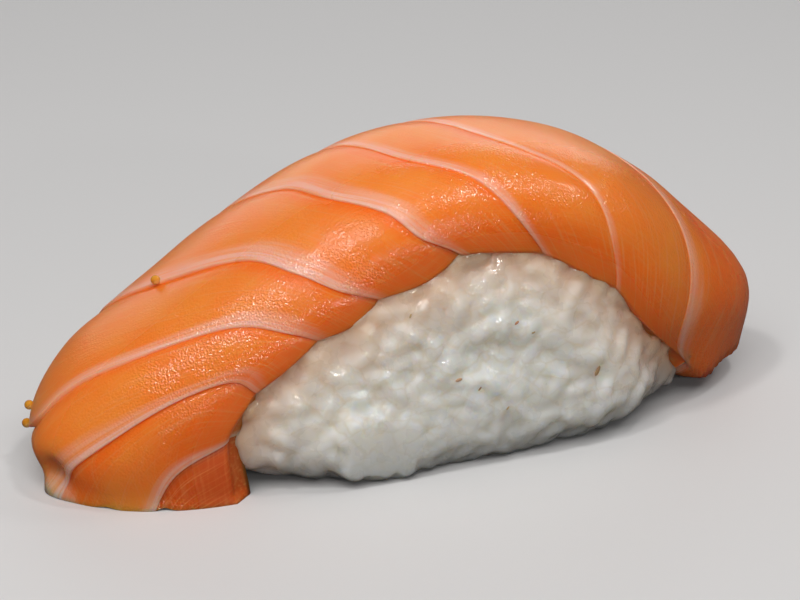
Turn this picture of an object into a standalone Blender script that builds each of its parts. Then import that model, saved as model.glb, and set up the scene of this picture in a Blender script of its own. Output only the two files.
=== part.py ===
"""Salmon nigiri: a hand-pressed block of sushi rice under a draped slice of raw salmon.

The slice lies over the rice like a saddle. Its left end comes down to the board in a slanting
edge, its front edge climbs from there to the shoulder of the rice and down again, and its right
end curls round the block and stops just above the board.
Metres, +Z up, +X along the slice, and -Y to the side where the rice shows. Lengths are named in
millimetres and scaled once, where each mesh is finished.
"""

import math

import bmesh
import bpy
from mathutils import Quaternion, Vector, noise
from mathutils.bvhtree import BVHTree

MM = 0.001
SHARP_ANGLE = math.radians(50)

# --- the slice: three rails of its upper face, each from the left end to the right end ---
CREST = (
    (-38.4, -4.2, 0.0),
    (-40.4, -2.3, 5.4),
    (-35.4, 0.5, 12.3),
    (-25.8, 1.4, 18.6),
    (-15.2, 1.9, 25.4),
    (-4.6, 1.9, 30.7),
    (6.2, 1.9, 32.9),
    (17.0, 1.9, 32.0),
    (27.5, 1.9, 28.0),
    (37.2, 1.9, 20.2),
    (45.2, 1.4, 11.0),
    (44.4, 0.5, 2.5),
)
FRONT_EDGE = (
    (-21.6, -14.4, 0.0),
    (-21.6, -14.0, 8.1),
    (-15.5, -14.0, 14.3),
    (-7.0, -14.0, 19.2),
    (2.3, -14.0, 23.5),
    (11.5, -14.0, 23.0),
    (20.0, -14.0, 18.8),
    (25.6, -13.1, 12.4),
    (32.5, -9.4, 5.6),
)
BACK_EDGE = (
    (-31.0, 9.4, 0.0),
    (-29.0, 12.2, 5.6),
    (-22.0, 13.6, 11.6),
    (-11.5, 14.5, 16.7),
    (0.5, 14.5, 19.2),
    (12.0, 14.5, 18.2),
    (23.0, 14.0, 14.1),
    (31.0, 12.6, 8.6),
    (37.0, 9.4, 3.5),
)
# These run from left to right too. The bow is how full the slice's ends are in plan, and a
# shoulder of 2 is an ellipse, with squarer ones above it.
BOW = (1.0, 0.7, 0.4, 0.5, 0.2)
FRONT_SHOULDER = (2.0, 2.2, 2.6, 2.8, 2.8, 2.5, 2.2)
BACK_SHOULDER = (2.0, 2.2, 2.4, 2.4, 2.4, 2.3, 2.2)
THICKNESS = (2.6, 3.6, 4.6, 5.0, 5.0, 4.8, 4.2)
# Where the lower face's edges lie from the upper face's: thin along the rice, and slanted at the
# two ends, where the knife's cut shows.
END_LIP = (0.0, 0.0, 0.0, 0.0, 0.0, 0.0, 0.0, 0.0, 2.0)
FRONT_LIP = ((2.0, 1.8, 0.0), (0.8, 1.3, 0.0), (0.0, 1.1, -0.3), (0.0, 1.1, -0.3), (-0.8, 1.8, -1.6))
BACK_LIP = ((1.5, -1.8, 0.0), (0.5, -1.3, 0.0), (0.0, -1.2, 0.0), (0.0, -1.2, 0.0), (-1.0, -1.8, -1.0))
LOWER_SHOULDER_LOSS = 0.3
SLICE_STEPS = 50
SLICE_ROWS = 20
TANGENT_STEP = 0.01

# --- the rice block: half sizes from its heart, and how square its plan and its section are ---
RICE_HEART = (4.3, -0.3, 12.0)
RICE_HALF_LENGTH = 33.0
RICE_HALF_WIDTH = 15.2
RICE_RISE = 18.0
RICE_DEPTH = 13.4
RICE_PLAN_SQUARENESS = 3.0
RICE_TOP_SQUARENESS = 2.6
RICE_FOOT_SQUARENESS = 5.0
RICE_FOOT_FLARE = 0.08
RICE_END_LIFT = 1.2
RICE_SUBDIVISIONS = 5
RICE_CORE = 0.6
# One lump of its skin is a grain or two wide, and its foot is that share of a lump from its top.
LUMP = 4.6
LUMP_RELIEF = 0.9
LUMP_FOOT = 0.77
# How near the rice comes to the slice. It starts to draw back that many radians before the
# slice's edge, and is free of it at the last.
RICE_CLEARANCE = 0.45
EDGE_LOOKS = (0.10, 0.15, 0.20, 0.26, 0.32)
EDGE_RAYS = 12
EDGE_SLOPE = 13.0
PULL_BACK = 0.01


def along(values, share):
    """The smooth value at a share from 0 to 1 along evenly spaced numbers or vectors."""
    at = min(max(share, 0.0), 1.0) * (len(values) - 1)
    i = min(int(at), len(values) - 2)
    t = at - i
    a, b = values[i], values[i + 1]
    before = values[i - 1] if i > 0 else a * 2 - b
    after = values[i + 2] if i + 2 < len(values) else b * 2 - a
    return (
        a * 2
        + (b - before) * t
        + (before * 2 - a * 5 + b * 4 - after) * t**2
        + (a * 3 - before - b * 3 + after) * t**3
    ) * 0.5


def arch(share, squareness):
    """How far out and how far up a superelliptic quarter arch is at a share of its turn."""
    angle = share * math.pi / 2
    reach = (math.sin(angle) ** squareness + math.cos(angle) ** squareness) ** (-1 / squareness)
    return math.sin(angle) * reach, math.cos(angle) * reach


crest_rail = [Vector(p) for p in CREST]
edge_rails = {-1: [Vector(p) for p in FRONT_EDGE], 1: [Vector(p) for p in BACK_EDGE]}
edge_lips = {-1: [Vector(p) for p in FRONT_LIP], 1: [Vector(p) for p in BACK_LIP]}
shoulders = {-1: FRONT_SHOULDER, 1: BACK_SHOULDER}


def slice_point(share, across, depth=0.0):
    """A point of the slice: share 0 to 1 is left to right, across -1 to 1 is front to back.

    Depth is 0 on the upper face and 1 on the lower face.
    """
    side = -1 if across < 0 else 1
    tangent = along(crest_rail, share + TANGENT_STEP) - along(crest_rail, share - TANGENT_STEP)
    tangent.normalize()
    inward = Vector((tangent.z, 0, -tangent.x))
    crest = along(crest_rail, share)
    crest += inward * along(THICKNESS, share) * depth + tangent * along(END_LIP, share) * depth
    edge = along(edge_rails[side], share) + along(edge_lips[side], share) * depth
    squareness = along(shoulders[side], share) - LOWER_SHOULDER_LOSS * depth
    out, up = arch(abs(across), squareness)
    sideways = out**2 + (1 - up - out**2) * along(BOW, share)
    return Vector(
        (
            crest.x + (edge.x - crest.x) * sideways,
            crest.y + (edge.y - crest.y) * out,
            max(edge.z + (crest.z - edge.z) * up, 0.0),
        )
    )


def finish(name, bm, shift, colour, roughness):
    """Turn the shifted bmesh into a smooth-shaded object in metres, with its material."""
    bmesh.ops.translate(bm, vec=shift, verts=bm.verts)
    bmesh.ops.scale(bm, vec=(MM, MM, MM), verts=bm.verts)
    bmesh.ops.recalc_face_normals(bm, faces=bm.faces)
    mesh = bpy.data.meshes.new(name)
    bm.to_mesh(mesh)
    bm.free()
    mesh.shade_smooth()
    mesh.set_sharp_from_angle(angle=SHARP_ANGLE)
    material = bpy.data.materials.new(name)
    material.use_nodes = True
    shader = material.node_tree.nodes["Principled BSDF"]
    shader.inputs["Base Color"].default_value = (*colour, 1)
    shader.inputs["Roughness"].default_value = roughness
    shader.inputs["Metallic"].default_value = 0
    mesh.materials.append(material)
    piece = bpy.data.objects.new(name, mesh)
    bpy.context.scene.collection.objects.link(piece)
    return piece


def salmon_slice():
    """A flat sheet, thickened downward and then bent over the rice row by row."""
    bm = bmesh.new()
    bmesh.ops.create_grid(bm, x_segments=SLICE_STEPS, y_segments=SLICE_ROWS, size=1)
    lower = bmesh.ops.extrude_face_region(bm, geom=bm.faces[:])["geom"]
    lower_verts = {v for v in lower if isinstance(v, bmesh.types.BMVert)}
    for v in bm.verts:
        v.co = slice_point((v.co.x + 1) / 2, v.co.y, depth=float(v in lower_verts))
    return bm


def crease(point):
    """0 on a lump's back and 1 at its foot."""
    return min(noise.voronoi(point / LUMP)[0][0] / LUMP_FOOT, 1) ** 2


def rice_skin(direction):
    """The free rice block's skin, from its heart along a direction of the unit sphere."""
    section = RICE_TOP_SQUARENESS if direction.z > 0 else RICE_FOOT_SQUARENESS
    plan = RICE_PLAN_SQUARENESS
    across = (abs(direction.y) ** section + abs(direction.z) ** section) ** (1 / section)
    unit = direction * (abs(direction.x) ** plan + across**plan) ** (-1 / plan)
    down = max(-unit.z, 0)
    return Vector(
        (
            unit.x * RICE_HALF_LENGTH,
            unit.y * RICE_HALF_WIDTH * (1 + RICE_FOOT_FLARE * down),
            unit.z * (RICE_DEPTH if unit.z < 0 else RICE_RISE) + RICE_END_LIFT * unit.x**2 * down,
        )
    )


def room_below_slice(tree, start, heading):
    """How far the rice may reach: to the slice's lower face, or sloping away below its edge."""
    side = heading.orthogonal().normalized()
    room = tree.ray_cast(start, heading)[3] or math.inf
    for look in EDGE_LOOKS:
        for i in range(EDGE_RAYS):
            aside = Quaternion(heading, math.tau * i / EDGE_RAYS) @ side
            hit = tree.ray_cast(start, (heading + aside * look).normalized())[3]
            if hit is not None:
                room = min(room, hit + (look - EDGE_LOOKS[0]) * EDGE_SLOPE)
    return room


def rice_block(slice_bm):
    """A sphere blown up to the block, creased lump by lump and pressed flush below the slice."""
    tree = BVHTree.FromBMesh(slice_bm)
    heart = Vector(RICE_HEART)
    bm = bmesh.new()
    bmesh.ops.create_icosphere(bm, subdivisions=RICE_SUBDIVISIONS, radius=1)
    starts = []
    for v in bm.verts:
        skin = rice_skin(v.co.normalized())
        skin *= 1 - LUMP_RELIEF * crease(heart + skin) / skin.length
        start = heart + Vector((skin.x * RICE_CORE, 0, 0))
        heading = heart + skin - start
        reach = min(heading.length, room_below_slice(tree, start, heading.normalized()))
        heading.normalize()
        while tree.find_nearest(start + heading * reach)[3] < RICE_CLEARANCE:
            reach -= RICE_CLEARANCE / 4
        v.co = start + heading * reach
        starts.append(start)
    bm.faces.ensure_lookup_table()
    touching = BVHTree.FromBMesh(bm).overlap(tree)
    while touching:
        for v in {v for face, _ in touching for v in bm.faces[face].verts}:
            v.co = v.co.lerp(starts[v.index], PULL_BACK)
        touching = BVHTree.FromBMesh(bm).overlap(tree)
    whole = bm.verts[:] + bm.edges[:] + bm.faces[:]
    cut = bmesh.ops.bisect_plane(bm, geom=whole, plane_co=(0, 0, 0), plane_no=(0, 0, 1), clear_inner=True)
    foot = [e for e in cut["geom_cut"] if isinstance(e, bmesh.types.BMEdge)]
    bmesh.ops.holes_fill(bm, edges=foot, sides=0)
    return bm


def bottom_centre(*pieces):
    """The middle of the foot of the box round all these bmeshes."""
    points = [v.co for bm in pieces for v in bm.verts]
    low = Vector([min(p[axis] for p in points) for axis in range(3)])
    high = Vector([max(p[axis] for p in points) for axis in range(3)])
    return Vector(((low.x + high.x) / 2, (low.y + high.y) / 2, low.z))


for old in list(bpy.data.objects):
    bpy.data.objects.remove(old)

slice_bm = salmon_slice()
rice_bm = rice_block(slice_bm)
to_origin = -bottom_centre(slice_bm, rice_bm)
finish("rice", rice_bm, to_origin, colour=(0.78, 0.77, 0.72), roughness=0.45)
finish("salmon_slice", slice_bm, to_origin, colour=(0.87, 0.27, 0.06), roughness=0.35)
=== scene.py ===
"""Salmon nigiri: a slice of raw salmon draped over a hand-pressed block of sushi rice.

Metres, +Z up, +X along the slice, and -Y to the side where the rice shows. Lengths are named in
millimetres and scaled once, where each mesh is finished.
"""

import functools
import itertools
import math
import random

import bmesh
import bpy
from mathutils import Euler, Matrix, Quaternion, Vector, noise
from mathutils.bvhtree import BVHTree


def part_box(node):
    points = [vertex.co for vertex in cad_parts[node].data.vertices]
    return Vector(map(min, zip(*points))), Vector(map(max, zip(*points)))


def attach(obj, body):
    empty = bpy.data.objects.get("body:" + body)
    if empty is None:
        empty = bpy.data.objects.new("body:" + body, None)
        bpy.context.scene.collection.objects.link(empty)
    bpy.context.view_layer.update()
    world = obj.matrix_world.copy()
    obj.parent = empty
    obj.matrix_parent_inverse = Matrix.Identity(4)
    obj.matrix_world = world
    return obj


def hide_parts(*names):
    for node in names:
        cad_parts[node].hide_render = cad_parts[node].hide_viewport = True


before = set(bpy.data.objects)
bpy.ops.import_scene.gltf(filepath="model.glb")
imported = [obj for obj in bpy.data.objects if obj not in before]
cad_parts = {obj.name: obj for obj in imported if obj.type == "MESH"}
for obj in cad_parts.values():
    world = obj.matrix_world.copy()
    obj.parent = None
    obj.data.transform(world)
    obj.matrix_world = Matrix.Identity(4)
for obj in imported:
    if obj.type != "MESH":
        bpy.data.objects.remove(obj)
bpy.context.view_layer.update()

# ---------------------------------------------------------------------------------------------
# The salmon slice: one slanting cut of raw fillet, 5 mm thick at its crown and thin at its rim.
# Flakes of orange muscle lie between pale lines of fat, each flake a little lower than the
# fat line before it. A hand presses it over the rice, and its left end comes down to the board.

MM = 0.001
# The slice's crest, where it is highest, and its front and back edges, from the left end that
# comes down to the board to the right end that hangs free.
CREST = (
    (-38.4, -4.2, 0.0),
    (-40.4, -2.3, 5.4),
    (-35.4, 0.5, 12.3),
    (-25.8, 1.4, 18.6),
    (-15.2, 1.9, 25.4),
    (-4.6, 1.9, 30.7),
    (6.2, 1.9, 32.9),
    (17.0, 1.9, 32.0),
    (27.5, 1.9, 28.0),
    (37.2, 1.9, 20.2),
    (45.2, 1.4, 11.0),
    (44.4, 0.5, 2.5),
)
FRONT_EDGE = (
    (-21.6, -14.4, 0.0),
    (-21.6, -14.0, 8.1),
    (-15.5, -14.0, 14.3),
    (-7.0, -14.0, 19.2),
    (2.3, -14.0, 23.5),
    (11.5, -14.0, 23.0),
    (20.0, -14.0, 18.8),
    (25.6, -13.1, 12.4),
    (32.5, -9.4, 5.6),
)
BACK_EDGE = (
    (-31.0, 9.4, 0.0),
    (-29.0, 12.2, 5.6),
    (-22.0, 13.6, 11.6),
    (-11.5, 14.5, 16.7),
    (0.5, 14.5, 19.2),
    (12.0, 14.5, 18.2),
    (23.0, 14.0, 14.1),
    (31.0, 12.6, 8.6),
    (37.0, 9.4, 3.5),
)
# From left to right, as these rails. The bow is how full the slice's ends are in plan, and a
# shoulder of 2 is an ellipse, with squarer ones above it. A lip is where the lower face's edge
# lies from the upper face's.
BOW = (1.0, 0.7, 0.4, 0.5, 0.2)
FRONT_SHOULDER = (2.0, 2.2, 2.6, 2.8, 2.8, 2.5, 2.2)
BACK_SHOULDER = (2.0, 2.2, 2.4, 2.4, 2.4, 2.3, 2.2)
THICKNESS = (2.6, 3.6, 4.6, 5.0, 5.0, 4.8, 4.2)
END_LIP = (0.0, 0.0, 0.0, 0.0, 0.0, 0.0, 0.0, 0.0, 2.0)
FRONT_LIP = ((2.0, 1.8, 0.0), (0.8, 1.3, 0.0), (0.0, 1.1, -0.3), (0.0, 1.1, -0.3), (-0.8, 1.8, -1.6))
BACK_LIP = ((1.5, -1.8, 0.0), (0.5, -1.3, 0.0), (0.0, -1.2, 0.0), (0.0, -1.2, 0.0), (-1.0, -1.8, -1.0))
LOWER_SHOULDER_LOSS = 0.3
TANGENT_STEP = 0.01

# Each fat line's share of the slice's length at nine places from the front edge to the back
# edge, from the left end's corner flake to the right end. The first and the last are the outer
# bounds of the first and the last flake, off the slice.
FAT_LINES = (
    (-0.01, -0.07, -0.24, -0.42, -0.60, -0.78, -0.96, -1.14, -1.32),
    (0.107, 0.047, -0.12, -0.30, -0.48, -0.66, -0.84, -1.02, -1.20),
    (0.195, 0.212, 0.12, 0.035, -0.08, -0.20, -0.32, -0.44, -0.56),
    (0.305, 0.297, 0.280, 0.200, 0.120, 0.075, 0.04, 0.01, -0.02),
    (0.400, 0.367, 0.353, 0.338, 0.290, 0.250, 0.215, 0.185, 0.16),
    (0.522, 0.470, 0.450, 0.423, 0.406, 0.375, 0.350, 0.330, 0.315),
    (0.650, 0.598, 0.555, 0.504, 0.482, 0.465, 0.450, 0.440, 0.435),
    (0.785, 0.737, 0.686, 0.603, 0.567, 0.545, 0.535, 0.530, 0.530),
    (1.004, 0.916, 0.842, 0.775, 0.740, 0.720, 0.710, 0.710, 0.715),
    (1.29, 1.21, 1.14, 1.08, 1.04, 1.02, 1.01, 1.01, 1.02),
)
# For each fat line, at five places from the front edge to the back edge: how wide and how strong
# its pale band is, and how far the flake before it lies below it.
BAND_WIDTH = (
    (1.0, 1.0, 1.0, 1.0, 1.0),
    (0.7, 2.6, 2.0, 2.0, 2.0),
    (1.4, 3.6, 3.6, 2.8, 2.0),
    (1.2, 2.8, 2.0, 1.0, 1.0),
    (1.0, 2.8, 3.0, 3.0, 2.8),
    (0.9, 2.2, 2.4, 2.0, 2.0),
    (0.8, 1.5, 1.3, 1.3, 1.3),
    (0.7, 1.1, 1.5, 1.3, 1.3),
    (0.9, 1.2, 1.1, 1.3, 1.3),
    (1.0, 1.0, 1.0, 1.0, 1.0),
)
BAND_STRENGTH = (
    (0.0, 0.0, 0.0, 0.0, 0.0),
    (0.8, 0.9, 0.7, 0.7, 0.7),
    (0.35, 1.0, 1.0, 0.9, 0.9),
    (0.35, 1.0, 0.45, 0.15, 0.3),
    (0.35, 1.0, 0.8, 0.6, 0.6),
    (0.4, 1.0, 0.8, 0.65, 0.6),
    (0.45, 0.95, 0.8, 0.7, 0.7),
    (0.35, 0.6, 1.0, 0.8, 0.8),
    (0.6, 0.65, 0.85, 0.9, 0.8),
    (0.0, 0.0, 0.0, 0.0, 0.0),
)
STEP = (
    (0.0, 0.0, 0.0, 0.0, 0.0),
    (0.3, 0.25, 0.2, 0.2, 0.2),
    (0.15, 0.28, 0.25, 0.2, 0.2),
    (0.15, 0.22, 0.7, 0.5, 0.3),
    (0.25, 0.25, 0.18, 0.18, 0.25),
    (0.3, 0.28, 0.15, 0.15, 0.25),
    (0.25, 0.18, 0.1, 0.1, 0.2),
    (0.08, 0.08, 0.1, 0.1, 0.15),
    (0.08, 0.06, 0.1, 0.12, 0.2),
    (0.0, 0.0, 0.0, 0.0, 0.0),
)
# How far each fat line's step reaches back, how much its band parts in two strands, and how far
# each flake's rounded end hangs below the slice's front edge.
TUCK = (1.0, 1.3, 1.4, 0.45, 1.4, 1.4, 1.4, 1.4, 1.4, 1.0)
PARTING = (0.0, 0.1, 0.8, 0.3, 0.25, 0.3, 0.2, 0.3, 0.35, 0.0)
LOBE = (0.0, 0.4, 0.4, 0.9, 1.4, 0.25, 0.7, 0.1, 0.0, 0.0)

# How many columns of faces a flake has and how many rows the slice has, and how far they crowd up
# to the fat lines and to the two edges.
FLAKE_STEPS = 32
ROWS = 150
LINE_CROWDING = 0.8
EDGE_CROWDING = 0.55


def along(values, share):
    """The smooth value at a share from 0 to 1 along evenly spaced numbers or vectors."""
    at = min(max(share, 0.0), 1.0) * (len(values) - 1)
    i = min(int(at), len(values) - 2)
    t = at - i
    a, b = values[i], values[i + 1]
    before = values[i - 1] if i > 0 else a * 2 - b
    after = values[i + 2] if i + 2 < len(values) else b * 2 - a
    return (
        a * 2
        + (b - before) * t
        + (before * 2 - a * 5 + b * 4 - after) * t**2
        + (a * 3 - before - b * 3 + after) * t**3
    ) * 0.5


def smooth(low, high, value):
    """0 below low, 1 above high, and an S between."""
    t = min(max((value - low) / (high - low), 0.0), 1.0)
    return t * t * (3 - 2 * t)


def arch(share, squareness):
    """How far out and how far up a superelliptic quarter arch is at a share of its turn."""
    angle = share * math.pi / 2
    reach = (math.sin(angle) ** squareness + math.cos(angle) ** squareness) ** (-1 / squareness)
    return math.sin(angle) * reach, math.cos(angle) * reach


crest_rail = [Vector(p) for p in CREST]
edge_rails = {-1: [Vector(p) for p in FRONT_EDGE], 1: [Vector(p) for p in BACK_EDGE]}
edge_lips = {-1: [Vector(p) for p in FRONT_LIP], 1: [Vector(p) for p in BACK_LIP]}
shoulders = {-1: FRONT_SHOULDER, 1: BACK_SHOULDER}


def slice_point(share, across, depth=0.0):
    """A point of the slice: share 0 to 1 is left to right, across -1 to 1 is front to back.

    Depth is 0 on the upper face and 1 on the lower face.
    """
    side = -1 if across < 0 else 1
    tangent = along(crest_rail, share + TANGENT_STEP) - along(crest_rail, share - TANGENT_STEP)
    tangent.normalize()
    inward = Vector((tangent.z, 0, -tangent.x))
    crest = along(crest_rail, share)
    crest += inward * along(THICKNESS, share) * depth + tangent * along(END_LIP, share) * depth
    edge = along(edge_rails[side], share) + along(edge_lips[side], share) * depth
    squareness = along(shoulders[side], share) - LOWER_SHOULDER_LOSS * depth
    out, up = arch(abs(across), squareness)
    sideways = out**2 + (1 - up - out**2) * along(BOW, share)
    return Vector(
        (
            crest.x + (edge.x - crest.x) * sideways,
            crest.y + (edge.y - crest.y) * out,
            max(edge.z + (crest.z - edge.z) * up, 0.0),
        )
    )


@functools.lru_cache(maxsize=None)
def line_shares(across):
    """The share at which each fat line crosses one row of the slice."""
    return [along(line, (across + 1) / 2) for line in FAT_LINES]


@functools.lru_cache(maxsize=None)
def flake_widths(across):
    """How wide each flake is along one row of the slice."""
    crossings = [slice_point(min(max(s, 0.0), 1.0), across) for s in line_shares(across)]
    return [max((b - a).length, 1.0) for a, b in zip(crossings, crossings[1:])]


def flake_at(share, across):
    """The flake's number, and how far across it a point lies, from 0 to 1."""
    lines = line_shares(across)
    for number, (low, high) in enumerate(zip(lines, lines[1:])):
        if share < high - 1e-6:
            break
    return number, min(max((share - low) / (high - low), 0.0), 1.0)


# A flat sheet, whose columns of faces follow the fat lines and crowd up beside them. It is
# trimmed to the slice's two ends, and thickened downward.
bm = bmesh.new()
bmesh.ops.create_grid(bm, x_segments=FLAKE_STEPS * (len(FAT_LINES) - 1), y_segments=ROWS, size=1)
for v in bm.verts:
    place = (v.co.x + 1) / 2 * (len(FAT_LINES) - 1)
    number = min(int(place + 1e-4), len(FAT_LINES) - 2)
    part = place - number
    part -= LINE_CROWDING * math.sin(math.tau * part) / math.tau
    across = round(v.co.y + EDGE_CROWDING * math.sin(math.pi * v.co.y) / math.pi, 5)
    low, high = line_shares(across)[number : number + 2]
    v.co = (low + (high - low) * part, across, 0)
for end, side in ((0, {"clear_inner": True}), (1, {"clear_outer": True})):
    whole = bm.verts[:] + bm.edges[:] + bm.faces[:]
    bmesh.ops.bisect_plane(bm, geom=whole, dist=1e-4, plane_co=(end, 0, 0), plane_no=(1, 0, 0), **side)
bmesh.ops.remove_doubles(bm, verts=bm.verts[:], dist=1e-4)

depth_layer = bm.verts.layers.float.new("depth")
lower = bmesh.ops.extrude_face_region(bm, geom=bm.faces[:])["geom"]
for v in lower:
    if isinstance(v, bmesh.types.BMVert):
        v[depth_layer] = 1

# How wide and deep the upper face's slow swells are, how far each flake domes, how much of a step
# is left as a lip past its line, and over what length.
SWELL = 6.0
SWELL_RELIEF = 0.22
PILLOW = 0.18
PILLOW_FULLNESS = 0.7
LIP_FALL = 0.35
LIP_REACH = 3.0
# The rim's rounding, the share of it that the ends get, and about how long the slice is over one
# side and along its crest.
RIM_ROUND = 0.8
END_ROUND = 0.4
ARC_LENGTH = 25
CREST_LENGTH = 115
# How deep the orange is, in part painted shade: beneath each fat line, the flesh's own deeper tone
# with painted shade in it, and how far back from it; in the corner flake and in the last flake, painted
# shade.
UNDER_LINE_DEEP_AND_SHADE = 0.8
UNDER_LINE_REACH = 2.2
CORNER_SHADE = 1.6
LAST_FLAKE_SHADE = 0.8
# How many fibres a flake, a row and the thickness hold, how many rows of faces the rim has, and
# up to what height the foot has a sharp edge and sinks less.
FIBRE_COUNTS = (9, 27, 4)
RIM_CUTS = 3
SHARP_FOOT = 0.5
FOOT_FADE = 1.2
# Where a finger or a knife has left its mark on the rim: its place, its size and its push.
MARKS = (
    ((-36.5, -9.3, 0.0), 0.9, (0.7, 0.7, 1.0)),
    ((-31.4, -12.2, 0.0), 0.8, (0.1, 0.6, 0.9)),
    ((-38.9, -4.4, 0.2), 2.4, (-2.7, 0.0, 0.2)),
    ((-41.4, -5.6, 2.9), 1.7, (1.4, 0.7, 0.0)),
    ((33.5, -7.5, 4.5), 2.6, (0.3, 0.2, -1.9)),
)
# The tab of paler flesh at the left mark, and the painted shade on the tab at the right: where,
# how wide and how strong.
PALE_TAB = ((-41.4, -4.4, 0.6), 1.4, 0.4)
RIGHT_TAB_SHADE = ((33.9, -6.6, 2.2), 1.5, 1.2)


def at_row(values, across):
    """The value of one fat line's row of five numbers, from the front edge to the back edge."""
    return along(values, (across + 1) / 2)


def band(number, across, past):
    """How pale the flesh is, so far past a fat line."""
    past /= at_row(BAND_WIDTH[number], across)
    parted = 1 - PARTING[number] * math.exp(-(((past - 0.55) / 0.16) ** 2))
    return at_row(BAND_STRENGTH[number], across) * parted * (1 - smooth(0.3, 1.3, past))


def sink(number, across, part, width):
    """How far the surface lies below its highest, part of the way across a flake."""
    past = part * width
    short = width - past
    lip = at_row(STEP[number], across) * LIP_FALL * (1 - math.exp(-past / LIP_REACH))
    tuck = at_row(STEP[number + 1], across) * math.exp(-short / TUCK[number + 1])
    return lip + tuck + PILLOW * (1 - math.sin(math.pi * part) ** PILLOW_FULLNESS)


def rounding(distance):
    """How far a rounded edge has fallen away, so far in from it."""
    return RIM_ROUND * (1 - math.sqrt(1 - min(max(1 - distance / RIM_ROUND, 0), 1) ** 2))


def push_in(bm, marks):
    """Pushes the mesh at each mark, and keeps it on the board."""
    for centre, size, push in marks:
        for v in bm.verts:
            v.co += Vector(push) * math.exp(-(((v.co - Vector(centre)).length / size) ** 2))
    for v in bm.verts:
        v.co.z = max(v.co.z, 0)


fat_layer = bm.verts.layers.float.new("fat")
deep_tone_and_shade_layer = bm.verts.layers.float.new("deep")
pitted_layer = bm.verts.layers.float.new("pitted")
sink_layer = bm.verts.layers.float.new("sink")
fibre_layer = bm.verts.layers.float_vector.new("fibre")
for v in bm.verts:
    share, across = v.co.x, round(v.co.y, 5)
    number, part = flake_at(share, across)
    width = flake_widths(across)[number]
    depth = v[depth_layer]
    short = (1 - part) * width
    v[fat_layer] = band(number, across, part * width)
    # Painted shade: the front band, turned down toward the rice, is painted deeper orange. Beneath each fat
    # line the deeper tone is partly the flesh's own and partly painted shade. The corner flake and the end of
    # the last flake are painted darker.
    under_line = at_row(BAND_STRENGTH[number + 1], across) * math.exp(-((short / UNDER_LINE_REACH) ** 2))
    v[deep_tone_and_shade_layer] = max(1 - smooth(-0.95, -0.5, across), UNDER_LINE_DEEP_AND_SHADE * under_line)
    if number == 0:
        v[deep_tone_and_shade_layer] = CORNER_SHADE
    elif number == len(FAT_LINES) - 2:
        v[deep_tone_and_shade_layer] = max(v[deep_tone_and_shade_layer], LAST_FLAKE_SHADE * smooth(0, 0.2, part))
    v[pitted_layer] = smooth(-0.94, -0.75, across) * (1 - 0.7 * smooth(-0.55, -0.05, across))
    v[fibre_layer] = [a * b for a, b in zip((number + part, across, depth), FIBRE_COUNTS)]
    v.co = slice_point(share, across, depth)
    hang = LOBE[number] * math.sin(math.pi * part**1.2) * smooth(-0.72, -1.0, across)
    v.co.z = max(v.co.z - hang, 0)
    swell = SWELL_RELIEF * (0.5 + 0.5 * noise.noise(v.co / SWELL))
    fallen = END_ROUND * rounding((1 - share) * CREST_LENGTH)
    fallen = max(rounding((1 - abs(across)) * ARC_LENGTH), fallen)
    v[sink_layer] = (sink(number, across, part, width) + swell + fallen) * (1 - depth)
bmesh.ops.recalc_face_normals(bm, faces=bm.faces)
bm.normal_update()
raw_low = Vector([min(v.co[axis] for v in bm.verts) for axis in range(3)])
raw_high = Vector([max(v.co[axis] for v in bm.verts) for axis in range(3)])
upward = {}
for f in bm.faces:
    if all(v[depth_layer] < 0.5 for v in f.verts):
        for v in f.verts:
            upward[v] = upward.get(v, Vector()) + f.normal * f.calc_area()
for v, normal in upward.items():
    v.co -= normal.normalized() * v[sink_layer] * smooth(0, FOOT_FADE, v.co.z)
for e in bm.edges:
    depths = sorted(sum(v[depth_layer] for v in f.verts) for f in e.link_faces)
    if depths[0] == 0 < depths[-1] and max(v.co.z for v in e.verts) < SHARP_FOOT:
        e.smooth = False
walls = [e for e in bm.edges if e.verts[0][depth_layer] != e.verts[1][depth_layer]]
bmesh.ops.subdivide_edges(bm, edges=walls, cuts=RIM_CUTS)
low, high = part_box("salmon_slice")
bmesh.ops.translate(bm, vec=(low + high) / 2 / MM - (raw_low + raw_high) / 2, verts=bm.verts)
push_in(bm, MARKS)
# The left tab is paler flesh; the right tab gets painted shade in its deep tone.
for layer, (centre, size, strength), steepness in ((fat_layer, PALE_TAB, 2), (deep_tone_and_shade_layer, RIGHT_TAB_SHADE, 4)):
    for v in bm.verts:
        v[layer] += strength * math.exp(-(((v.co - Vector(centre)).length / size) ** steepness))


def finish_mesh(name, bm):
    """The bmesh, in millimetres, as an object in metres."""
    bmesh.ops.scale(bm, vec=(MM, MM, MM), verts=bm.verts)
    mesh = bpy.data.meshes.new(name)
    bm.to_mesh(mesh)
    bm.free()
    mesh.shade_smooth()
    piece = bpy.data.objects.new(name, mesh)
    bpy.context.scene.collection.objects.link(piece)
    return piece


salmon = finish_mesh("salmon", bm)


def add(tree, kind, inputs=None, **settings):
    """A node in a tree, with its settings and what its inputs hold or are linked to."""
    made = tree.nodes.new(kind)
    for name, value in settings.items():
        setattr(made, name, value)
    for name, value in (inputs or {}).items():
        if isinstance(value, bpy.types.NodeSocket):
            tree.links.new(value, made.inputs[name])
        else:
            made.inputs[name].default_value = value
    return made


def calc(tree, operation, a, b=0.0, c=0.0, clamp=False):
    """A sum of two or three numbers or sockets."""
    return add(tree, "ShaderNodeMath", {0: a, 1: b, 2: c}, operation=operation, use_clamp=clamp).outputs[0]


def spread(tree, value, low, high, to_low=0.0, to_high=1.0):
    """A value's range stretched smoothly to another."""
    made = add(tree, "ShaderNodeMapRange", {"Value": value}, interpolation_type="SMOOTHSTEP")
    for name, number in (("From Min", low), ("From Max", high), ("To Min", to_low), ("To Max", to_high)):
        made.inputs[name].default_value = number
    return made.outputs["Result"]


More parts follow.
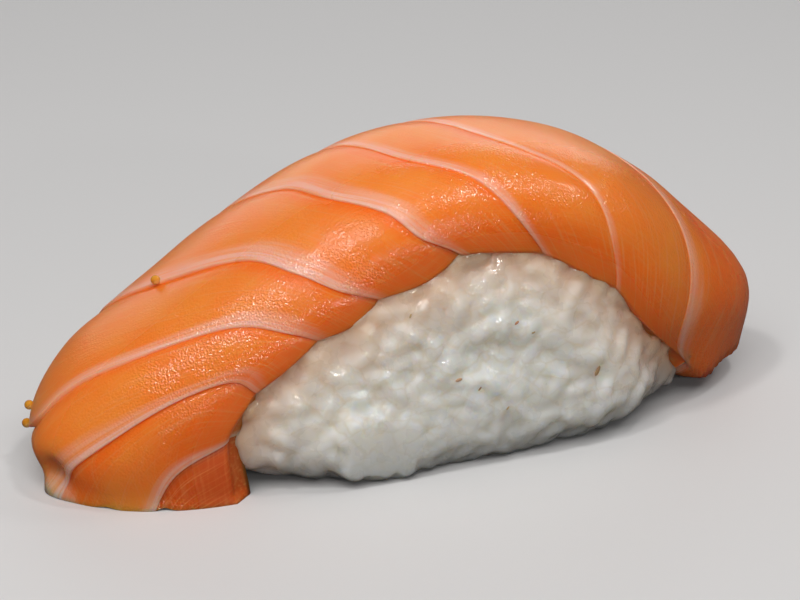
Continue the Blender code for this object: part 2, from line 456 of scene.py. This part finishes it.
def tint(tree, share, a, b):
    """One colour or socket over another, by a share."""
    made = add(tree, "ShaderNodeMix", data_type="RGBA")
    for socket, value in zip((made.inputs[0], made.inputs[6], made.inputs[7]), (share, a, b)):
        if isinstance(value, bpy.types.NodeSocket):
            tree.links.new(value, socket)
        else:
            socket.default_value = (*value, 1) if isinstance(value, tuple) else value
    return made.outputs[2]


def material_tree(name, **settings):
    """A new material's tree and its Principled shader, with the given even settings."""
    material = bpy.data.materials.new(name)
    material.use_nodes = True
    shader = material.node_tree.nodes["Principled BSDF"]
    for key, value in settings.items():
        shader.inputs[key.replace("_", " ")].default_value = value
    return material, material.node_tree, shader


# What is wet all over: a film of water or oil, rippled like orange peel where it is thin. Place
# is in metres, Ripples and Patches are how many of them a metre holds, and Cover is how little of
# the skin is thin, from 0 to 1. Height is nearly 0 where the film is thick.
wet_film = bpy.data.node_groups.new("wet_film", "ShaderNodeTree")
for name, kind in (("Place", "Vector"), ("Ripples", "Float"), ("Patches", "Float"), ("Cover", "Float")):
    wet_film.interface.new_socket(name, in_out="INPUT", socket_type="NodeSocket" + kind)
for name in ("Height", "Thin"):
    wet_film.interface.new_socket(name, in_out="OUTPUT", socket_type="NodeSocketFloat")
given = add(wet_film, "NodeGroupInput")
ripples, patches = (
    add(wet_film, "ShaderNodeTexNoise", {"Vector": given.outputs["Place"], "Scale": scale, "Detail": detail})
    for scale, detail in ((given.outputs["Ripples"], 0.7), (given.outputs["Patches"], 2.0))
)
thin = calc(wet_film, "SUBTRACT", patches.outputs["Fac"], given.outputs["Cover"])
thin = spread(wet_film, thin, 0.0, 0.16)
height = calc(wet_film, "MULTIPLY_ADD", thin, 0.85, 0.15)
height = calc(wet_film, "MULTIPLY", calc(wet_film, "SUBTRACT", ripples.outputs["Fac"], 0.5), height)
add(wet_film, "NodeGroupOutput", {"Height": height, "Thin": thin})


def add_film(tree, place, ripples, patches, cover):
    """The wet film in a material's tree."""
    film = add(tree, "ShaderNodeGroup", node_tree=wet_film)
    tree.links.new(place, film.inputs["Place"])
    for name, value in (("Ripples", ripples), ("Patches", patches), ("Cover", cover)):
        film.inputs[name].default_value = value
    return film


# The flesh, its deeper tone (also painted shade where the deep attribute is high) and its paler tone,
# the fat, and the dark painted shade of the corner flake and the right tab.
FLESH = (0.92, 0.270, 0.030)
DEEP_FLESH = (0.95, 0.155, 0.003)
PALE_FLESH = (0.90, 0.330, 0.095)
FAT = (0.92, 0.50, 0.40)
SHADE_FLESH = (0.55, 0.065, 0.002)
material, tree, shader = material_tree(
    "raw_salmon",
    Subsurface_Weight=0.75,
    Subsurface_Radius=(1.0, 0.30, 0.12),
    Subsurface_Scale=2.0 * MM,
    IOR=1.45,
    Specular_IOR_Level=1.0,
)
fat, deep, pitted = (
    add(tree, "ShaderNodeAttribute", attribute_name=name).outputs["Fac"] for name in ("fat", "deep", "pitted")
)
fibre = add(tree, "ShaderNodeAttribute", attribute_name="fibre").outputs["Vector"]
place = add(tree, "ShaderNodeTexCoord").outputs["Object"]
# Strands of fibre run from the front edge to the back, and slanting paler veils cross them.
strands = add(tree, "ShaderNodeMapping", {"Vector": fibre, "Scale": (3.2, 0.12, 1.0)}).outputs["Vector"]
strands = add(tree, "ShaderNodeTexNoise", {"Vector": strands, "Scale": 1.0, "Detail": 4.0}).outputs["Fac"]
slanting = {"Scale": (0.25, 3.0, 1.0), "Rotation": (0, 0, 0.5)}
veils = add(tree, "ShaderNodeMapping", {"Vector": fibre, **slanting}).outputs["Vector"]
veils = add(tree, "ShaderNodeTexNoise", {"Vector": veils, "Scale": 1.0, "Detail": 3.0}).outputs["Fac"]
cloud = add(tree, "ShaderNodeTexNoise", {"Vector": place, "Scale": 150.0, "Detail": 1.0}).outputs["Fac"]
film = add_film(tree, place, 4200, 260, 0.30)
flesh = tint(tree, spread(tree, cloud, 0.3, 0.7, 0.0, 0.35), FLESH, DEEP_FLESH)
# The deep attribute carries painted shade: the front band and beneath the fat lines up to 1, and past 1 the
# corner flake and the right tab.
flesh = tint(tree, spread(tree, deep, 0.0, 1.0), flesh, DEEP_FLESH)
flesh = tint(tree, spread(tree, deep, 1.0, 2.0), flesh, SHADE_FLESH)
flesh = tint(tree, spread(tree, veils, 0.45, 0.75, 0.0, 0.25), flesh, PALE_FLESH)
flesh = tint(tree, spread(tree, strands, 0.48, 0.75, 0.0, 0.55), flesh, PALE_FLESH)
fat_share = calc(tree, "MULTIPLY", fat, spread(tree, strands, 0.3, 0.6, 0.45, 1.0))
tree.links.new(tint(tree, fat_share, flesh, FAT), shader.inputs["Base Color"])
shiny = calc(tree, "MULTIPLY", calc(tree, "MULTIPLY_ADD", film.outputs["Thin"], 0.3, 0.7), pitted)
tree.links.new(spread(tree, shiny, 0.0, 1.0, 0.42, 0.12), shader.inputs["Roughness"])
ridges = calc(tree, "MULTIPLY_ADD", strands, 0.2, calc(tree, "MULTIPLY", film.outputs["Height"], pitted))
bump = add(tree, "ShaderNodeBump", {"Height": ridges, "Distance": 0.085 * MM, "Strength": 1.0})
tree.links.new(bump.outputs["Normal"], shader.inputs["Normal"])
salmon.data.materials.append(material)
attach(salmon, "root")
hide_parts("salmon_slice")

# ---------------------------------------------------------------------------------------------
# The rice: cooked short-grain rice, 6 mm long and 3 mm wide a grain, pressed by hand to a block.
# The grains on its skin are squashed flat and stuck together by their own starch, so that only
# shallow rounded lumps and soft creases show between them.

# A grain's half size, the least distance between two, how many are tried, how deep their middles
# lie at the foot and above it, and how far the core shrinks beneath them.
GRAIN_HALF = (2.6, 1.2, 1.0)
GRAIN_SPACING = 1.75
GRAIN_TRIES = 20000
GRAIN_DEPTH = 0.82
FOOT_GRAIN_DEPTH = 0.6
FOOT_HEIGHT = 6
GRAIN_DEPTH_SPREAD = 0.16
GRAIN_SIZES = (0.88, 1.1)
GRAIN_TILT = 0.16
GRAIN_ROLL = 0.2
CORE_DEPTH = 0.3
# How finely the grains are melted into one skin, how often it is smoothed, how it is pressed up
# to the slice where the gap is small, how it is pitted, and how far the painted orange glow of
# the salmon's light on the rice reaches.
VOXEL = 0.32
LUMP_SMOOTHINGS = 4
SMOOTHINGS = 3
FLATTENINGS = 5
PRESS_REACH = 3.2
PRESS = 0.85
PITTING = 1.1
PITTING_RELIEF = 0.06
SALMON_GLOW_REACH = 3
PROUD_DEPTH = 0.6
# How far along and how high each grain sits that the hand did not press in, and its turn. Then
# the one that hangs from the foot beside the salmon: its place, its turns and its half size. The
# bulges of the block's foot are given as the marks on the slice are.
PROUD_GRAINS = (
    (27.0, 8.0, 0.6),
    (24.5, 5.2, -0.3),
    (19.0, 4.4, 0.2),
    (22.0, 8.6, 1.0),
    (14.5, 3.6, -0.5),
    (9.0, 3.4, 0.3),
    (3.5, 3.0, -0.2),
    (-2.5, 2.6, 0.5),
    (-6.5, 3.4, -0.6),
    (-11.5, 2.6, 0.2),
    (-15.0, 4.8, 0.9),
    (16.5, 10.4, 0.4),
    (6.0, 8.2, -0.4),
    (-1.0, 11.8, 0.8),
    (11.5, 14.2, 0.2),
)
HANGING_GRAIN = ((-18.9, -9.4, 1.2), (0.3, 0.5, 0.9), (2.2, 1.0, 0.9))
BULGES = (((-9.0, -13.8, 0.6), 5.0, (0.0, -2.2, 0.0)), ((30.0, -7.0, 2.0), 3.0, (0.5, -0.4, -1.0)))


def soften(bm, verts, times):
    """Smooths some of a mesh's vertices, a number of times."""
    for _ in range(times):
        bmesh.ops.smooth_vert(bm, verts=verts, factor=0.5, use_axis_x=True, use_axis_y=True, use_axis_z=True)


rng = random.Random(11)
core = bmesh.new()
core.from_mesh(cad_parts["rice"].data)
bmesh.ops.scale(core, vec=(1 / MM, 1 / MM, 1 / MM), verts=core.verts)
bmesh.ops.remove_doubles(core, verts=core.verts, dist=0.01)
soften(core, core.verts, LUMP_SMOOTHINGS)
core.normal_update()
skin_faces = core.faces[:]
areas = [f.calc_area() for f in skin_faces]
spots = []
taken = {}
for face in rng.choices(skin_faces, weights=areas, k=GRAIN_TRIES):
    a, b, c = (v.co for v in face.verts[:3])
    s, t = sorted((rng.random(), rng.random()))
    spot = a * s + b * (t - s) + c * (1 - t)
    cell = [math.floor(x / GRAIN_SPACING) for x in spot]
    near = itertools.product(*[(x - 1, x, x + 1) for x in cell])
    if all((spot - other).length > GRAIN_SPACING for key in near for other in taken.get(key, ())):
        taken.setdefault(tuple(cell), []).append(spot)
        spots.append((spot, face.normal.copy()))
front_tree = BVHTree.FromBMesh(core)
proud = []
for x, z, turn in PROUD_GRAINS:
    place, normal, _, _ = front_tree.ray_cast(Vector((x, -40, z)), Vector((0, 1, 0)))
    proud.append((place - normal * PROUD_DEPTH, normal.to_track_quat("Z", "Y") @ Quaternion((0, 0, 1), turn)))
for v in core.verts:
    v.co -= v.normal * CORE_DEPTH
for spot, normal in spots:
    way = normal.to_track_quat("Z", "Y") @ Quaternion((0, 0, 1), rng.uniform(0, math.pi))
    way = way @ Quaternion((0, 1, 0), rng.gauss(0, GRAIN_TILT))
    way = way @ Quaternion((1, 0, 0), rng.gauss(0, GRAIN_ROLL))
    size = rng.uniform(*GRAIN_SIZES)
    deep = FOOT_GRAIN_DEPTH + (GRAIN_DEPTH - FOOT_GRAIN_DEPTH) * smooth(0, FOOT_HEIGHT, spot.z)
    middle = spot - normal * (deep + rng.uniform(-1, 1) * GRAIN_DEPTH_SPREAD)
    matrix = Matrix.LocRotScale(middle, way, Vector(GRAIN_HALF) * size)
    bmesh.ops.create_icosphere(core, subdivisions=2, radius=1, matrix=matrix)
place, turns, half = HANGING_GRAIN
for middle, way, half in [(*grain, GRAIN_HALF) for grain in proud] + [(Vector(place), Euler(turns), half)]:
    matrix = Matrix.LocRotScale(middle, way, Vector(half))
    bmesh.ops.create_icosphere(core, subdivisions=2, radius=1, matrix=matrix)
lumps = finish_mesh("lumps", core)
remesh = lumps.modifiers.new("remesh", "REMESH")
remesh.mode = "VOXEL"
remesh.voxel_size = VOXEL * MM
melted = bpy.data.meshes.new_from_object(lumps.evaluated_get(bpy.context.evaluated_depsgraph_get()))
bpy.data.objects.remove(lumps)
bm = bmesh.new()
bm.from_mesh(melted)
bmesh.ops.scale(bm, vec=(1 / MM, 1 / MM, 1 / MM), verts=bm.verts)
soften(bm, bm.verts, SMOOTHINGS)
bm.normal_update()
low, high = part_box("rice")
low, high = low / MM, high / MM
half = (high.y - low.y) / 2
reach = max(abs(v.co.y - (low.y + half)) for v in bm.verts)
salmon_tree = BVHTree.FromObject(salmon, bpy.context.evaluated_depsgraph_get())
salmon_glow_layer = bm.verts.layers.float.new("painted_salmon_glow")
gaps = {v: salmon_tree.find_nearest(v.co * MM)[3] / MM for v in bm.verts}
pressed_flat = [v for v, gap in gaps.items() if gap < PRESS_REACH]
soften(bm, pressed_flat, FLATTENINGS)
for v, gap in gaps.items():
    # Painted light: the orange glow that the salmon throws on the rice beside it.
    v[salmon_glow_layer] = math.exp(-gap / SALMON_GLOW_REACH)
    v.co.y = low.y + half + (v.co.y - low.y - half) * min(half / reach, 1)
    pressed = PRESS * max(1 - gap / PRESS_REACH, 0) ** 2
    v.co += v.normal * (pressed + PITTING_RELIEF * noise.noise(v.co / PITTING))
push_in(bm, BULGES)
for v in bm.verts:
    v.co.y = min(max(v.co.y, low.y), high.y)
rice = finish_mesh("rice_grains", bm)

# The grains from whitest to clearest, the seams between them, the painted shade low down towards
# the board, and the painted orange glow beside the salmon.
RICE = (0.96, 0.94, 0.89)
CLEAR_RICE = (0.90, 0.88, 0.82)
CREASED_RICE = (0.76, 0.70, 0.56)
FOOT_SHADE_RICE = (0.60, 0.60, 0.57)
SALMON_GLOW_RICE = (0.90, 0.50, 0.29)
material, tree, shader = material_tree(
    "cooked_rice",
    Subsurface_Weight=1.0,
    Subsurface_Radius=(1.0, 0.85, 0.65),
    Subsurface_Scale=4.0 * MM,
    IOR=1.45,
    Specular_IOR_Level=1.0,
)
place = add(tree, "ShaderNodeTexCoord").outputs["Object"]
painted_salmon_glow = add(tree, "ShaderNodeAttribute", attribute_name="painted_salmon_glow").outputs["Fac"]
cloud = add(tree, "ShaderNodeTexNoise", {"Vector": place, "Scale": 260.0, "Detail": 2.0}).outputs["Fac"]
film = add_film(tree, place, 3400, 420, 0.44)
bent = add(tree, "ShaderNodeTexNoise", {"Vector": place, "Scale": 500.0, "Detail": 1.0}).outputs["Color"]
bent = add(tree, "ShaderNodeVectorMath", {0: bent, 1: (2 * MM,) * 3, 2: place}, operation="MULTIPLY_ADD")
longer = {"Rotation": (0, 0.5, 0), "Scale": (0.6, 1, 1)}
grains = add(tree, "ShaderNodeMapping", {"Vector": bent.outputs[0], **longer}).outputs["Vector"]
grains = {"Vector": grains, "Scale": 430.0}
tones = add(tree, "ShaderNodeTexVoronoi", grains).outputs["Color"]
edges = add(tree, "ShaderNodeTexVoronoi", grains, feature="DISTANCE_TO_EDGE").outputs["Distance"]
tones = add(tree, "ShaderNodeSeparateXYZ", {"Vector": tones}).outputs["X"]
body = tint(tree, spread(tree, tones, 0.1, 0.9), RICE, CLEAR_RICE)
creased = calc(tree, "MULTIPLY", spread(tree, edges, 0.0, 0.10, 0.7, 0.0), cloud)
body = tint(tree, creased, body, CREASED_RICE)
# Painted light: the salmon's orange glow on the rice beside it.
body = tint(tree, calc(tree, "MULTIPLY", painted_salmon_glow, 0.95), body, SALMON_GLOW_RICE)
height = add(tree, "ShaderNodeSeparateXYZ", {"Vector": place}).outputs["Z"]
# Painted shade: the rice is darker and greyer towards the board.
body = tint(tree, spread(tree, height, 0.0, 8 * MM, 0.75, 0.0), body, FOOT_SHADE_RICE)
tree.links.new(body, shader.inputs["Base Color"])
tree.links.new(spread(tree, film.outputs["Thin"], 0.0, 1.0, 0.34, 0.08), shader.inputs["Roughness"])
film_height = film.outputs["Height"]
bump = add(tree, "ShaderNodeBump", {"Height": film_height, "Distance": 0.06 * MM, "Strength": 1.0})
tree.links.new(bump.outputs["Normal"], shader.inputs["Normal"])
rice.data.materials.append(material)
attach(rice, "root")
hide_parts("rice")

# ---------------------------------------------------------------------------------------------
# Flecks of bran that the mill left on the rice: thin brown scales, most of them half a millimetre
# long and the largest 1.5 mm, that lie flat on the grains in their film of starch.

FLECK_HALF = (0.34, 0.15, 0.1)
FLECK_SINK = 0.3
# How far along and how high on the front, its turn, and its size.
FLECKS = (
    (7.0, 15.9, 0.4, 1.0),
    (8.8, 14.6, 0.1, 0.8),
    (16.7, 8.7, 1.3, 2.2),
    (0.2, 10.6, 0.2, 1.3),
    (2.6, 9.2, 1.0, 1.0),
    (-4.9, 18.3, 1.2, 0.8),
    (5.8, 6.5, 0.9, 0.8),
)

rice_tree = BVHTree.FromObject(rice, bpy.context.evaluated_depsgraph_get())
bm = bmesh.new()
for x, z, turn, size in FLECKS:
    place, normal, _, _ = rice_tree.ray_cast(Vector((x, -40, z)) * MM, Vector((0, 1, 0)))
    way = normal.to_track_quat("Z", "Y") @ Quaternion((0, 0, 1), turn)
    half = Vector(FLECK_HALF) * size
    middle = place / MM - normal * half.z * FLECK_SINK
    middle.y = max(middle.y, low.y + half.z)
    bmesh.ops.create_icosphere(bm, subdivisions=2, radius=1, matrix=Matrix.LocRotScale(middle, way, half))
flecks = finish_mesh("bran_flecks", bm)
material, tree, shader = material_tree(
    "bran", Roughness=0.4, Subsurface_Weight=0.4, Subsurface_Scale=0.4 * MM, Subsurface_Radius=(1.0, 0.6, 0.3)
)
place = add(tree, "ShaderNodeTexCoord").outputs["Object"]
tone = add(tree, "ShaderNodeTexNoise", {"Vector": place, "Scale": 260.0, "Detail": 2.0}).outputs["Fac"]
bran = tint(tree, spread(tree, tone, 0.35, 0.65), (0.46, 0.22, 0.13), (0.60, 0.42, 0.22))
tree.links.new(bran, shader.inputs["Base Color"])
flecks.data.materials.append(material)
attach(flecks, "root")
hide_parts("rice")

# ---------------------------------------------------------------------------------------------
# Three beads of roe that cling to the salmon: thin amber skins full of clear oil, each about a
# millimetre across. The wet surface alone holds them.

BEAD_RADIUS = 0.52
# Where on the skin each bead lies, and how far it is sunk in the film.
BEADS = (((-27.3, 3.0, 19.0), 0.30), ((-40.9, 4.6, 5.9), 0.22), ((-41.5, 3.2, 4.7), 0.22))
# The light that enters a bead from above gathers on this side of it.
GLOW_SIDE = Vector((0.25, -0.65, -0.7)).normalized()

skin_tree = BVHTree.FromObject(salmon, bpy.context.evaluated_depsgraph_get())
bm = bmesh.new()
for spot, sunk in BEADS:
    place, normal, _, _ = skin_tree.find_nearest(Vector(spot) * MM)
    middle = place / MM + normal * (BEAD_RADIUS - sunk)
    matrix = Matrix.Translation(middle)
    bmesh.ops.create_uvsphere(bm, u_segments=24, v_segments=14, radius=BEAD_RADIUS, matrix=matrix)
glow_layer = bm.verts.layers.float.new("glow")
bm.normal_update()
for v in bm.verts:
    v[glow_layer] = smooth(0.2, 1.0, v.normal.dot(GLOW_SIDE))
roe = finish_mesh("roe_beads", bm)
material, tree, shader = material_tree("roe", Roughness=0.04, IOR=1.36, Transmission_Weight=0.35)
place = add(tree, "ShaderNodeTexCoord").outputs["Object"]
depth = add(tree, "ShaderNodeTexNoise", {"Vector": place, "Scale": 900.0, "Detail": 1.0}).outputs["Fac"]
amber = tint(tree, spread(tree, depth, 0.4, 0.6), (0.90, 0.42, 0.04), (0.82, 0.32, 0.02))
glow = add(tree, "ShaderNodeAttribute", attribute_name="glow").outputs["Fac"]
amber = tint(tree, glow, amber, (1.0, 0.74, 0.28))
tree.links.new(amber, shader.inputs["Base Color"])
roe.data.materials.append(material)
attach(roe, "root")
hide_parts("salmon_slice")

# ---------------------------------------------------------------------------------------------
# The stage: a plain pale floor, broad soft lights above, behind and in front, five small lamps
# that glitter in the wet film, and a camera a little above the board, to the left of the front.

CAMERA_AZIMUTH = math.radians(-21)
CAMERA_ELEVATION = math.radians(22.5)
CAMERA_DISTANCE = 269
CAMERA_LENS = 110
CAMERA_TARGET = (-0.55, 0.3, 13.9)

bpy.ops.mesh.primitive_plane_add(size=3)
floor = bpy.context.object
floor.name = "floor"
floor_material, tree, shader = material_tree("floor", Roughness=0.6)
seen = add(tree, "ShaderNodeLightPath").outputs["Is Camera Ray"]
tree.links.new(tint(tree, seen, (0.10, 0.10, 0.10), (0.66, 0.66, 0.67)), shader.inputs["Base Color"])
floor.data.materials.append(floor_material)


def soft_light(name, place, size, power, mirrored=True):
    """A rectangular area light, in metres and watts, that faces the nigiri."""
    lamp = bpy.data.lights.new(name, "AREA")
    lamp.shape = "RECTANGLE"
    lamp.size, lamp.size_y = size
    lamp.energy = power
    lamp.color = (1.0, 0.98, 0.95)
    holder = bpy.data.objects.new(name, lamp)
    holder.location = place
    holder.rotation_euler = (Vector(place) - Vector((0, 0, 0.015))).to_track_quat("Z", "Y").to_euler()
    holder.visible_glossy = mirrored
    bpy.context.scene.collection.objects.link(holder)


soft_light("softbox", (-0.12, 0.02, 0.45), (0.40, 0.30), 0.14)
soft_light("back", (0.12, 0.43, 0.19), (0.60, 0.15), 0.44)
soft_light("front", (-0.14, -0.26, 0.42), (0.50, 0.30), 1.56, mirrored=False)
soft_light("lamp_left", (-0.20, -0.08, 0.42), (0.05, 0.05), 0.34)
soft_light("lamp_middle", (0.14, -0.05, 0.44), (0.05, 0.05), 0.28)
soft_light("lamp_right", (0.31, -0.02, 0.30), (0.05, 0.05), 0.14)
soft_light("lamp_front", (0.08, -0.42, 0.17), (0.018, 0.018), 0.14)
soft_light("lamp_low", (-0.13, -0.39, 0.20), (0.02, 0.02), 0.11)

world = bpy.data.worlds.new("studio")
bpy.context.scene.world = world
world.use_nodes = True
world.node_tree.nodes["Background"].inputs["Color"].default_value = (0.62, 0.64, 0.68, 1)
world.node_tree.nodes["Background"].inputs["Strength"].default_value = 0.12
bpy.context.scene.view_settings.view_transform = "Standard"

lens = bpy.data.cameras.new("camera")
lens.lens = CAMERA_LENS
lens.sensor_width = 36
camera = bpy.data.objects.new("camera", lens)
toward_camera = Vector(
    (
        math.sin(CAMERA_AZIMUTH) * math.cos(CAMERA_ELEVATION),
        -math.cos(CAMERA_AZIMUTH) * math.cos(CAMERA_ELEVATION),
        math.sin(CAMERA_ELEVATION),
    )
)
camera.location = (Vector(CAMERA_TARGET) + toward_camera * CAMERA_DISTANCE) * MM
camera.rotation_euler = toward_camera.to_track_quat("Z", "Y").to_euler()
bpy.context.scene.collection.objects.link(camera)
bpy.context.scene.camera = camera
